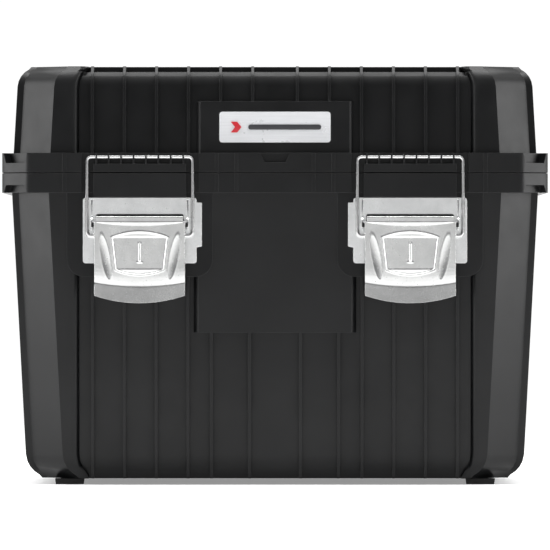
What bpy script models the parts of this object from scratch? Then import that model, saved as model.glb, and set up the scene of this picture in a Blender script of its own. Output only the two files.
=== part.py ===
"""Toolbox with a lift-out tray: a ribbed plastic case, a hinged lid with a folding carry
handle, two draw latches with wire bails, and a compartment tray resting on ledges.

Frame: metres, +X to the right, the front faces -Y, +Z up.
Origin: on the floor under the middle of the toolbox."""

import math

import bmesh
import bpy
from mathutils import Matrix, Vector
from mathutils.geometry import delaunay_2d_cdt

MM = 0.001

# Overall sizes
CASE_WIDTH = 450 * MM
RIM_DEPTH = 330 * MM
CASE_HEIGHT = 345 * MM
FOOT_HEIGHT = 5 * MM
PARTING_Z = 257 * MM

# Clearances
FIT_GAP = 0.3 * MM
RUNNING_GAP = 0.4 * MM
TRAY_GAP = 3 * MM

# Rims of the case and the lid
RIM_HEIGHT = 16 * MM
RIM_CHAMFER = 22 * MM
RIM_CORNER_RADIUS = 8 * MM
RIM_BUMP = 0.8 * MM
RIM_BUMPS = ((31.8 * MM, 2.9 * MM), (47.9 * MM, 2.9 * MM))
OUTER_BUMP = (61.8 * MM, 3.7 * MM)
FINGER_NOTCH = (25.6 * MM, 17 * MM, 7.8 * MM, 5 * MM)
CORNER_NOTCH = (28 * MM, 21.6 * MM, 8.2 * MM, 6.5 * MM)

# Walls: ridges beside each corner, a recessed facet on it, and sunk panels with ribs
CASE_INSET = 7.8 * MM
CASE_DRAFT = 0.0515
LID_INSET = 9.1 * MM
LID_DRAFT = 0.056
WALL = 3.5 * MM
FLOOR_WALL = 4 * MM
CORNER_SETBACK = 31 * MM
CORNER_STEP = 5.4 * MM
PANEL_DEPTH = 7 * MM
PANEL_MARGIN = 56 * MM
PANEL_EDGE = 7 * MM
PANEL_EDGE_STEPS = 3
RIB_WIDTH = 2.3 * MM
RIB_PITCH = 26.4 * MM
CASE_RIB_PITCH = 26.2 * MM
SIDE_RIB_PITCH = 24 * MM
CASE_FIRST_RIB = 71.7 * MM
CASE_INNER_RIBS = (21 * MM, 52.4 * MM)
LID_FIRST_RIB = 18.4 * MM
RIB_MARGIN = 9.5 * MM
CASE_BOTTOM_RADIUS = 20 * MM
LID_TOP_RADIUS = 16.5 * MM
LID_PANEL_DROP = 5 * MM
LID_PANEL_RADIUS = 10 * MM
LID_RIB_REACH = 40 * MM
FLAT_END_SHARE = 0.62
PANEL_SHIFT_LIMIT = 8 * MM
RIDGE_MIN = 1 * MM

# Plates in the middle of the front
CASE_PLATE_WIDTH = 133.4 * MM
CASE_PLATE_BOTTOM_Z = 125.5 * MM
CASE_PLATE_BEVEL = 3.7 * MM
LID_PLATE_WIDTH = 128 * MM
LID_PLATE_TOP_Z = 316 * MM
LID_PLATE_BEVEL = 2.6 * MM
PLATE_PROUD = 0.3 * MM
LABEL_SIZE = (91.5 * MM, 25.3 * MM, 0.8 * MM)
LABEL_RADIUS = 2.2 * MM
LABEL_Z = 294.6 * MM
LABEL_SINK = 1.1 * MM

# Draw latches
LATCH_INSET = 113.8 * MM
BOSS_WIDTH = 120 * MM
BOSS_BOTTOM_Z = 171.5 * MM
BOSS_RADIUS = 14 * MM
BAY_OUTER = 47.8 * MM
BAY_INNER = 48.4 * MM
BAY_DEPTH = 4.7 * MM
CATCH_WIDTH = 76 * MM
CATCH_PROUD = 3.3 * MM
CATCH_BOTTOM_Z = 236.9 * MM
CATCH_TOP_Z = 264.3 * MM
TOOTH_COUNT = 8
TOOTH_PITCH = 10.2 * MM
TOOTH_WIDTH = 1.3 * MM
TOOTH_DEPTH = 1.7 * MM
TOOTH_SETBACK = 0.4 * MM
TOOTH_TOP_Z = 273 * MM
SHEET = 1.5 * MM
PLATE_WIDTH = 93.5 * MM
PLATE_TOP_Z = 236.5 * MM
PLATE_BOTTOM_Z = 182.6 * MM
WING_WIDTH = 4.3 * MM
WING_TOP_Z = 232.5 * MM
WING_BOTTOM_Z = 196.5 * MM
WING_SLOPE = 1 * MM
PLATE_CORNER = 2 * MM
WINDOW_HALF = 36 * MM
WINDOW_BOTTOM_Z = 200 * MM
WINDOW_TOP_Z = 223 * MM
WINDOW_CORNER = 1.5 * MM
LEVER_WIDTH = 74.4 * MM
LEVER_BOTTOM_Z = 149.9 * MM
LEVER_CORNER_Z = 156.1 * MM
KNUCKLE_RADIUS = 5.7 * MM
LEVER_PIN_RADIUS = 1.5 * MM
LEVER_PIVOT_REACH = 6.7 * MM
LEVER_PIVOT_Z = 215.5 * MM
TRUNNION_RADIUS = 3 * MM
TRUNNION_DROP = 10.5 * MM
TRUNNION_BACK = 1.5 * MM
BAIL_WIRE = 3 * MM
BAIL_SPAN = 86.8 * MM
BAIL_TOP_Z = 269.9 * MM
BAIL_LEAN = 2 * MM
BAIL_CORNER = 3.3 * MM
BAIL_END = 30 * MM
RIVET_SPAN = 44 * MM
RIVET_Z = 190 * MM
RIVET_RADIUS = 2 * MM

# Rear hinges
HINGE_X_INSET = 113.8 * MM
HINGE_STAND_OFF = 5.3 * MM
HINGE_RADIUS = 4.7 * MM
HINGE_PIN_RADIUS = 2 * MM
HINGE_KNUCKLES = 5
HINGE_KNUCKLE_WIDTH = 10 * MM
HINGE_WEB_HEIGHT = 12 * MM

# Carry handle, folded into a pocket in the lid's top
POCKET_SIZE = (152 * MM, 78 * MM, 22 * MM)
POCKET_RADIUS = 6 * MM
POCKET_WALL = 8 * MM
POCKET_FLOOR = 3.5 * MM
HANDLE_GAP = 2 * MM
HANDLE_BAR = 18 * MM
HANDLE_THICKNESS = 12 * MM
HANDLE_ARM = 12 * MM
HANDLE_PIN_RADIUS = 2.5 * MM
HANDLE_PIN_EMBED = 5 * MM
GRIP_LENGTH = 104 * MM
GRIP_SKIN = 3 * MM

# Tray
TRAY_TOP_Z = 250 * MM
TRAY_HEIGHT = 61 * MM
TRAY_TAPER = 4 * MM
TRAY_CHAMFER = 18 * MM
TRAY_WALL = 2.4 * MM
TRAY_SPINE = 16 * MM
POCKET_CORNER = 7 * MM
LEDGE_WIDTH = 9 * MM
LEDGE_HEIGHT = 6 * MM
LEDGE_LENGTH = 120 * MM
TRAY_HANDLE_SPAN = 130 * MM
TRAY_HANDLE_REACH = 50 * MM
TRAY_HANDLE_WIRE = 6 * MM
TRAY_HANDLE_BEND = 5 * MM
LUG_HEIGHT = 8 * MM
LUG_WIDTH = 6 * MM

FOOT_SIZE = 24 * MM
FOOT_TAPER = 0.6 * MM
FOOT_INSET = (55.3 * MM, 53 * MM)

HALF_W = CASE_WIDTH / 2
HALF_D = RIM_DEPTH / 2
CASE_RIM_TOP = PARTING_Z - FIT_GAP
CASE_RIM_BOTTOM = CASE_RIM_TOP - RIM_HEIGHT
LID_RIM_BOTTOM = PARTING_Z + FIT_GAP
LID_RIM_TOP = LID_RIM_BOTTOM + RIM_HEIGHT
LATCH_X = HALF_W - LATCH_INSET
SIDES = (("left", -1), ("right", 1))
OVERLAP = 8 * MM

for old in list(bpy.data.objects):
    bpy.data.objects.remove(old, do_unlink=True)

parts = bpy.data.collections.new("toolbox_with_tray")
cutters = bpy.data.collections.new("cutters")
bpy.context.scene.collection.children.link(parts)
bpy.context.scene.collection.children.link(cutters)


def material(name, color, roughness, metallic=0.0):
    made = bpy.data.materials.new(name)
    made.use_nodes = True
    shader = made.node_tree.nodes["Principled BSDF"]
    shader.inputs["Base Color"].default_value = (*color, 1)
    shader.inputs["Roughness"].default_value = roughness
    shader.inputs["Metallic"].default_value = metallic
    return made


BLACK = material("black_plastic", (0.03, 0.03, 0.032), 0.5)
STEEL = material("bright_steel", (0.78, 0.78, 0.8), 0.25, 1.0)
RUBBER = material("black_rubber", (0.02, 0.02, 0.02), 0.8)
SILVER = material("silver_label", (0.75, 0.76, 0.78), 0.35, 0.3)


# Making solids

def add_object(name, mesh, color, collection=parts):
    obj = bpy.data.objects.new(name, mesh)
    mesh.materials.append(color)
    collection.objects.link(obj)
    return obj


def from_bmesh(name, bm, color, collection=parts):
    mesh = bpy.data.meshes.new(name)
    bm.to_mesh(mesh)
    bm.free()
    return add_object(name, mesh, color, collection)


def smooth(obj, angle=35):
    obj.data.shade_smooth()
    obj.data.set_sharp_from_angle(angle=math.radians(angle))


def box(name, x, y, z, color=BLACK, collection=parts):
    """A block between the given limits, each a (low, high) pair."""
    bm = bmesh.new()
    size = (x[1] - x[0], y[1] - y[0], z[1] - z[0])
    middle = Vector((x[0] + x[1], y[0] + y[1], z[0] + z[1])) / 2
    bmesh.ops.create_cube(bm, size=1, matrix=Matrix.Translation(middle) @ Matrix.Diagonal((*size, 1)))
    return from_bmesh(name, bm, color, collection)


def rod(name, x, y, z, radius, color=STEEL, collection=parts, segments=24):
    """A round bar along X between two X values."""
    bm = bmesh.new()
    place = Matrix.Translation(((x[0] + x[1]) / 2, y, z)) @ Matrix.Rotation(math.pi / 2, 4, "Y")
    bmesh.ops.create_cone(bm, cap_ends=True, segments=segments, radius1=radius, radius2=radius,
                          depth=x[1] - x[0], matrix=place)
    return from_bmesh(name, bm, color, collection)


def rounded(corners, steps=3):
    """An outline through corners (u, v, radius), each turned on its radius."""
    points = []
    count = len(corners)
    for index, (u, v, radius) in enumerate(corners):
        corner = Vector((u, v))
        if radius == 0:
            points.append(corner)
            continue
        back = (Vector(corners[index - 1][:2]) - corner).normalized()
        ahead = (Vector(corners[(index + 1) % count][:2]) - corner).normalized()
        half = back.angle(ahead) / 2
        centre = corner + (back + ahead).normalized() * radius / math.sin(half)
        start = corner + back * radius / math.tan(half) - centre
        turn = math.pi - 2 * half
        if back.cross(ahead) > 0:
            turn = -turn
        for step in range(steps + 1):
            angle = turn * step / steps
            spun = Vector((start.x * math.cos(angle) - start.y * math.sin(angle),
                           start.x * math.sin(angle) + start.y * math.cos(angle)))
            points.append(centre + spun)
    return points


def round_box(u, v, radius, steps=3):
    corners = ((u[0], v[0]), (u[1], v[0]), (u[1], v[1]), (u[0], v[1]))
    return rounded([(a, b, radius) for a, b in corners], steps)


PLANES = {
    "X": Matrix(((0, 0, 1, 0), (1, 0, 0, 0), (0, 1, 0, 0), (0, 0, 0, 1))),
    "Y": Matrix(((1, 0, 0, 0), (0, 0, -1, 0), (0, 1, 0, 0), (0, 0, 0, 1))),
    "Z": Matrix.Identity(4),
}
TOWARDS = {"X": 1, "Y": -1, "Z": 1}


def slab(name, outline, axis, limits, color=BLACK, collection=parts):
    """A flat outline given thickness along an axis. The outline is in (y, z) for X, in (x, z)
    for Y and in (x, y) for Z."""
    curve = bpy.data.curves.new(name, "CURVE")
    curve.dimensions = "2D"
    curve.fill_mode = "BOTH"
    curve.extrude = (limits[1] - limits[0]) / 2
    spline = curve.splines.new("POLY")
    spline.points.add(len(outline) - 1)
    for point, (u, v) in zip(spline.points, outline):
        point.co = (u, v, 0, 1)
    spline.use_cyclic_u = True
    flat = bpy.data.objects.new(name + "_outline", curve)
    collection.objects.link(flat)
    mesh = bpy.data.meshes.new_from_object(flat.evaluated_get(bpy.context.evaluated_depsgraph_get()))
    bpy.data.objects.remove(flat, do_unlink=True)
    bm = bmesh.new()
    bm.from_mesh(mesh)
    bmesh.ops.remove_doubles(bm, verts=bm.verts, dist=0.00001)
    for side in (-1, 1):
        level = side * curve.extrude
        cap = [face for face in bm.faces if all(abs(v.co.z - level) < 0.00001 for v in face.verts)]
        bmesh.ops.dissolve_faces(bm, faces=cap)
    bmesh.ops.recalc_face_normals(bm, faces=bm.faces)
    bm.to_mesh(mesh)
    bm.free()
    middle = TOWARDS[axis] * (limits[0] + limits[1]) / 2
    mesh.transform(PLANES[axis] @ Matrix.Translation((0, 0, middle)))
    mesh.name = name
    mesh.materials.clear()
    return add_object(name, mesh, color, collection)


def loft(name, rings, color=BLACK, collection=parts):
    """A solid through level rings of matching points, closed at both ends."""
    bm = bmesh.new()
    loops = [[bm.verts.new(point) for point in ring] for ring in rings]
    count = len(loops[0])
    for lower, upper in zip(loops, loops[1:]):
        for index in range(count):
            after = (index + 1) % count
            bm.faces.new((lower[index], lower[after], upper[after], upper[index]))
    bmesh.ops.triangulate(bm, faces=bm.faces)
    fill_level(bm, loops[0], -1)
    fill_level(bm, loops[-1], 1)
    return from_bmesh(name, bm, color, collection)


def fill_level(bm, loop, facing):
    """Closes a level ring with triangles that face down (-1) or up (1)."""
    count = len(loop)
    flat = [vertex.co.xy for vertex in loop]
    edges = [(index, (index + 1) % count) for index in range(count)]
    _, _, triangles, sources, _, _ = delaunay_2d_cdt(flat, edges, [], 1, 0.000001)
    for triangle in triangles:
        corners = [loop[sources[index][0]] for index in triangle]
        bm.faces.new(corners if facing > 0 else corners[::-1])


def wire(name, points, thickness, color=STEEL):
    """A round wire with filled ends along a chain of points."""
    curve = bpy.data.curves.new(name, "CURVE")
    curve.dimensions = "3D"
    curve.bevel_depth = thickness / 2
    curve.bevel_resolution = 2
    curve.use_fill_caps = True
    spline = curve.splines.new("POLY")
    spline.points.add(len(points) - 1)
    for point, place in zip(spline.points, points):
        point.co = (*place, 1)
    obj = bpy.data.objects.new(name, curve)
    curve.materials.append(color)
    parts.objects.link(obj)
    return obj


def boolean(target, operation, tool):
    """Cut, join or trim a solid with a tool, which is kept as a guide."""
    modifier = target.modifiers.new(tool.name, "BOOLEAN")
    modifier.operation = operation
    modifier.object = tool
    modifier.solver = "EXACT"
    tool.hide_render = True
    tool.display_type = "WIRE"
    if tool.name in parts.objects:
        parts.objects.unlink(tool)
        cutters.objects.link(tool)


def cut(target, tool):
    boolean(target, "DIFFERENCE", tool)


def join(target, tool):
    boolean(target, "UNION", tool)


def lean(obj, draft, level):
    """Shears a solid back with height, so that its front keeps the wall's draft."""
    for vertex in obj.data.vertices:
        vertex.co.y += draft * (vertex.co.z - level)


def at_joint(pieces, name, place):
    """Puts pieces under an empty that stands on their joint's axis."""
    empty = bpy.data.objects.new(name, None)
    empty.location = place
    parts.objects.link(empty)
    for piece in pieces:
        piece.parent = empty
        piece.matrix_parent_inverse = Matrix.Translation(-Vector(place))


# Walls with ridges, panels and ribs

def both_sides(offsets):
    return sorted([-offset for offset in offsets] + list(offsets))


def run_of_ribs(first, pitch, limit):
    count = int((limit - first) / pitch) + 1
    return [first + pitch * index for index in range(count)]


def wall_profile(half_length, panel_half, depth, ribs, setback):
    """Points (s, t) along one wall from corner to corner, t deep behind the ridge's face."""
    panel_half = min(panel_half, half_length - setback - PANEL_EDGE - RIDGE_MIN)
    half = [(half_length - setback, CORNER_STEP), (half_length - setback, 0)]
    for step in range(PANEL_EDGE_STEPS + 1):
        angle = math.pi / 2 * step / PANEL_EDGE_STEPS
        half.append((panel_half + PANEL_EDGE * (1 - math.sin(angle)), depth * (1 - math.cos(angle))))
    points = [(-s, t) for s, t in half]
    for offset in ribs:
        low = offset - RIB_WIDTH / 2
        high = offset + RIB_WIDTH / 2
        points += [(low, depth), (low, 0), (high, 0), (high, depth)]
    return points + half[::-1]


def wall_ring(z, half_w, half_d, panel_w, panel_d, depth, front_ribs, side_ribs, setback=CORNER_SETBACK):
    front = wall_profile(half_w, panel_w, depth, front_ribs, setback)
    flank = wall_profile(half_d, panel_d, depth, side_ribs, setback)
    ring = [(s, t - half_d, z) for s, t in front]
    ring += [(half_w - t, s, z) for s, t in flank]
    ring += [(-s, half_d - t, z) for s, t in front]
    ring += [(t - half_w, -s, z) for s, t in flank]
    return ring


PANEL_W = HALF_W - PANEL_MARGIN - CASE_INSET
PANEL_D = HALF_D - PANEL_MARGIN - CASE_INSET
INNER_SETBACK = CORNER_SETBACK - (2 - math.sqrt(2)) * WALL


def case_half(size, z):
    """Half the case's width or depth over its ridges at a height."""
    return size - CASE_INSET - CASE_DRAFT * (CASE_RIM_BOTTOM - z)


def rib_limit(size, panel_half):
    """The outermost place for a rib: clear of the panel's end where it is narrowest, at the floor."""
    floor_half = case_half(size, FOOT_HEIGHT) - FLAT_END_SHARE * CASE_BOTTOM_RADIUS
    floor_panel = min(panel_half - PANEL_SHIFT_LIMIT, floor_half - CORNER_SETBACK - PANEL_EDGE - RIDGE_MIN)
    return min(panel_half - RIB_MARGIN, floor_panel - RIB_WIDTH / 2 - FIT_GAP)


SIDE_RIBS = both_sides(run_of_ribs(SIDE_RIB_PITCH / 2, SIDE_RIB_PITCH, rib_limit(HALF_D, PANEL_D)))
CASE_RIBS = both_sides(list(CASE_INNER_RIBS)
                       + run_of_ribs(CASE_FIRST_RIB, CASE_RIB_PITCH, rib_limit(HALF_W, PANEL_W)))
LID_RIBS = both_sides(run_of_ribs(LID_FIRST_RIB, RIB_PITCH, rib_limit(HALF_W, PANEL_W)))


def lid_half(size, z):
    return size - LID_INSET - LID_DRAFT * (z - LID_RIM_TOP)


def arc_inset(radius, rise):
    """How far a quarter round of this radius has drawn in when it is this far past its start."""
    return radius - math.sqrt(max(radius ** 2 - rise ** 2, 0))


def case_ring(z, thickness, ribs):
    """A level of the case's wall: its outside, or its inside when given a thickness."""
    floor = FOOT_HEIGHT + (FLOOR_WALL if thickness else 0)
    rise = max(floor + CASE_BOTTOM_RADIUS - z, 0)
    inset = min(arc_inset(CASE_BOTTOM_RADIUS, rise), FLAT_END_SHARE * CASE_BOTTOM_RADIUS)
    shift = min(inset, PANEL_SHIFT_LIMIT)
    grow = thickness - shift
    return wall_ring(z, case_half(HALF_W, z) - thickness - inset, case_half(HALF_D, z) - thickness - inset,
                     PANEL_W + grow, PANEL_D + grow, PANEL_DEPTH,
                     CASE_RIBS if ribs else (), SIDE_RIBS if ribs else (),
                     INNER_SETBACK if thickness else CORNER_SETBACK)


def case_levels(floor, top):
    fillet = [floor + CASE_BOTTOM_RADIUS * share for share in (0, 0.125, 0.275, 0.475, 0.7, 1)]
    return fillet + [top]


def lid_ring(z, thickness, ribs, reach=0):
    """A level of the lid's wall. Near the top the panels turn in below the ribs."""
    top = CASE_HEIGHT - (LID_PANEL_DROP + WALL if thickness else 0)
    rise = max(z - (top - LID_TOP_RADIUS), 0)
    inset = min(arc_inset(LID_TOP_RADIUS, rise), FLAT_END_SHARE * LID_TOP_RADIUS)
    shift = min(inset, PANEL_SHIFT_LIMIT)
    depth = PANEL_DEPTH
    if not thickness:
        turn = max(z - (top - LID_PANEL_DROP - LID_PANEL_RADIUS), 0)
        depth += arc_inset(LID_PANEL_RADIUS, min(turn, LID_PANEL_RADIUS)) + reach - inset
    grow = thickness - shift
    return wall_ring(z, lid_half(HALF_W, z) - thickness - inset, lid_half(HALF_D, z) - thickness - inset,
                     PANEL_W + grow, PANEL_D + grow, depth,
                     LID_RIBS if ribs else (), SIDE_RIBS if ribs else (),
                     INNER_SETBACK if thickness else CORNER_SETBACK)


def rim_outline():
    """Outline of both rims, with the latch bays and the small bumps in the front."""
    front = []
    outer_place, outer_width = OUTER_BUMP
    for offset, width in (*RIM_BUMPS, (LATCH_X + outer_place, outer_width)):
        for edge, proud in ((-1, 0), (-1, RIM_BUMP), (1, RIM_BUMP), (1, 0)):
            front.append((offset + edge * width / 2, -HALF_D - proud, 0))
    inner = LATCH_X - BAY_INNER
    outer = LATCH_X + BAY_OUTER
    front += [(inner, -HALF_D, 0), (inner, -HALF_D + BAY_DEPTH, 0),
              (outer, -HALF_D + BAY_DEPTH, 0), (outer, -HALF_D, 0)]
    right = order_steps(front)
    left = [(-x, y, r) for x, y, r in reversed(right)]
    chamfer = [(HALF_W - RIM_CHAMFER, -HALF_D, RIM_CORNER_RADIUS),
               (HALF_W, -HALF_D + RIM_CHAMFER, RIM_CORNER_RADIUS)]
    rear = [(x, -y, r) for x, y, r in reversed(chamfer)]
    right_side = chamfer + rear
    left_side = [(-x, y, r) for x, y, r in reversed(right_side)]
    return rounded(left + right + right_side + left_side)


def order_steps(points):
    """Sorts step edges along X so that each pair at one X leaves the face before coming back."""
    ordered = []
    face = -HALF_D
    level = face
    for x in sorted({point[0] for point in points}):
        pair = [point for point in points if point[0] == x]
        pair.sort(key=lambda point: abs(point[1] - level))
        ordered += pair
        level = pair[-1][1]
    return ordered


def corner_notches(name, wide_z, narrow_z):
    """Tapered pockets in the four corner faces of a rim, wide at one end."""
    wide, narrow, _, depth = CORNER_NOTCH
    reach = (HALF_W - RIM_CHAMFER / 2, HALF_D - RIM_CHAMFER / 2)
    bm = bmesh.new()
    for side_x in (-1, 1):
        for side_y in (-1, 1):
            out = Vector((side_x, side_y, 0)).normalized()
            along = Vector((-out.y, out.x, 0))
            face = Vector((side_x * reach[0], side_y * reach[1], 0))
            made = bmesh.ops.create_cube(bm, size=1)["verts"]
            for vertex in made:
                at_wide = vertex.co.z > 0
                width = wide if at_wide else narrow
                offset = depth if vertex.co.y > 0 else -depth
                place = face + along * vertex.co.x * width + out * offset
                place.z = wide_z if at_wide else narrow_z
                vertex.co = place
    bmesh.ops.recalc_face_normals(bm, faces=bm.faces)
    return from_bmesh(name, bm, BLACK, cutters)


# Rear hinges

HINGE_Y = HALF_D + HINGE_STAND_OFF
HINGE_X = HALF_W - HINGE_X_INSET


def knuckle_span(centre, index):
    pitch = HINGE_KNUCKLE_WIDTH + RUNNING_GAP
    middle = centre + (index - (HINGE_KNUCKLES - 1) / 2) * pitch
    return (middle - HINGE_KNUCKLE_WIDTH / 2, middle + HINGE_KNUCKLE_WIDTH / 2)


def join_knuckles(shell, prefix, indexes, web_z):
    """Adds one half's knuckles: a barrel round the pin and a web back to the rim."""
    for side, sign in SIDES:
        for index in indexes:
            span = knuckle_span(sign * HINGE_X, index)
            arc = [math.pi * (0.5 - step / 8) for step in range(9)]
            barrel = [(HINGE_Y + HINGE_RADIUS * math.cos(a), PARTING_Z + HINGE_RADIUS * math.sin(a)) for a in arc]
            back = HALF_D - OVERLAP
            if web_z > PARTING_Z:
                outline = barrel[::-1] + [(HINGE_Y, web_z), (back, web_z), (back, LID_RIM_BOTTOM + 1 * MM),
                                          (HALF_D + RUNNING_GAP, LID_RIM_BOTTOM + 1 * MM),
                                          (HINGE_Y - HINGE_RADIUS, PARTING_Z)]
            else:
                outline = barrel + [(HINGE_Y, web_z), (back, web_z), (back, CASE_RIM_TOP - 1 * MM),
                                    (HALF_D + RUNNING_GAP, CASE_RIM_TOP - 1 * MM),
                                    (HINGE_Y - HINGE_RADIUS, PARTING_Z)]
            join(shell, slab(f"{prefix}_knuckle_{side}_{index}", outline, "X", span, collection=cutters))


def bore_hinges(shell, prefix):
    for side, sign in SIDES:
        first = knuckle_span(sign * HINGE_X, 0)[0] - 1 * MM
        last = knuckle_span(sign * HINGE_X, HINGE_KNUCKLES - 1)[1] + 1 * MM
        cut(shell, rod(f"{prefix}_hinge_bore_{side}", (first, last), HINGE_Y, PARTING_Z,
                       HINGE_PIN_RADIUS + FIT_GAP, collection=cutters))


# Latch geometry shared by the case, the lid and the latch pieces

BOSS_Y = -(HALF_D - CASE_INSET) - FIT_GAP
CATCH_Y = -HALF_D - CATCH_PROUD
BAY_Y = -HALF_D + BAY_DEPTH
PLATE_BACK_Y = BOSS_Y - FIT_GAP
PLATE_FRONT_Y = PLATE_BACK_Y - SHEET
LEVER_PIVOT_Y = PLATE_FRONT_Y - LEVER_PIVOT_REACH
TRUNNION_Y = LEVER_PIVOT_Y + TRUNNION_BACK
TRUNNION_Z = LEVER_PIVOT_Z - TRUNNION_DROP


def plan_plate(width, bevel, front, back):
    return [(-width / 2, back), (-width / 2, front + bevel), (-width / 2 + bevel, front),
            (width / 2 - bevel, front), (width / 2, front + bevel), (width / 2, back)]


def make_case_shell():
    rings = [case_ring(z, 0, True) for z in case_levels(FOOT_HEIGHT, CASE_RIM_TOP - OVERLAP)]
    shell = loft("case_shell", rings)
    join(shell, slab("case_rim", rim_outline(), "Z", (CASE_RIM_BOTTOM, CASE_RIM_TOP), collection=cutters))
    face = -case_half(HALF_D, CASE_RIM_BOTTOM) - PLATE_PROUD
    plate = slab("case_plate", plan_plate(CASE_PLATE_WIDTH, CASE_PLATE_BEVEL, face, face + 2 * OVERLAP),
                 "Z", (CASE_PLATE_BOTTOM_Z, CASE_RIM_BOTTOM + 2 * MM), collection=cutters)
    lean(plate, -CASE_DRAFT, CASE_RIM_BOTTOM)
    join(shell, plate)
    for side, sign in SIDES:
        centre = sign * LATCH_X
        limits = (centre - BOSS_WIDTH / 2, centre + BOSS_WIDTH / 2)
        outline = rounded([(limits[0], CASE_RIM_TOP - OVERLAP, 0), (limits[0], BOSS_BOTTOM_Z, BOSS_RADIUS),
                           (limits[1], BOSS_BOTTOM_Z, BOSS_RADIUS), (limits[1], CASE_RIM_TOP - OVERLAP, 0)], 5)
        join(shell, slab(f"latch_boss_{side}", outline, "Y", (BOSS_Y, BOSS_Y + 2 * OVERLAP), collection=cutters))
        join(shell, box(f"case_catch_{side}", (centre - CATCH_WIDTH / 2, centre + CATCH_WIDTH / 2),
                        (CATCH_Y, BAY_Y + 2 * MM), (CATCH_BOTTOM_Z, CASE_RIM_TOP - 0.2 * MM),
                        collection=cutters))
    join_knuckles(shell, "case", (0, 2, 4), PARTING_Z - HINGE_WEB_HEIGHT)
    floor = FOOT_HEIGHT + FLOOR_WALL
    cavity = loft("case_cavity", [case_ring(z, WALL, False) for z in case_levels(floor, PARTING_Z + 2 * MM)],
                  collection=cutters)
    cut(shell, cavity)
    for side, sign in SIDES:
        wall = sign * (case_half(HALF_W, TRAY_TOP_Z - TRAY_HEIGHT) - PANEL_DEPTH - WALL)
        inner = wall - sign * LEDGE_WIDTH
        join(shell, box(f"tray_ledge_{side}", sorted((inner, wall + sign * 2 * MM)),
                        (-LEDGE_LENGTH / 2, LEDGE_LENGTH / 2),
                        (TRAY_TOP_Z - TRAY_HEIGHT - FIT_GAP - LEDGE_HEIGHT, TRAY_TOP_Z - TRAY_HEIGHT - FIT_GAP),
                        collection=cutters))
        for rivet in (-1, 1):
            x = sign * LATCH_X + rivet * RIVET_SPAN / 2
            cut(shell, slab(f"case_rivet_hole_{side}_{rivet}", rivet_circle(x, RIVET_RADIUS + FIT_GAP), "Y",
                            (BOSS_Y - 1 * MM, BOSS_Y + 5 * MM), collection=cutters))
    bore_hinges(shell, "case")
    cut(shell, corner_notches("case_corner_notches", CASE_RIM_BOTTOM - 1 * MM,
                              CASE_RIM_BOTTOM + CORNER_NOTCH[2] - 2 * MM))
    return shell


def rivet_circle(x, radius):
    return [(x + radius * math.cos(k * math.pi / 6), RIVET_Z + radius * math.sin(k * math.pi / 6))
            for k in range(12)]


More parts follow.
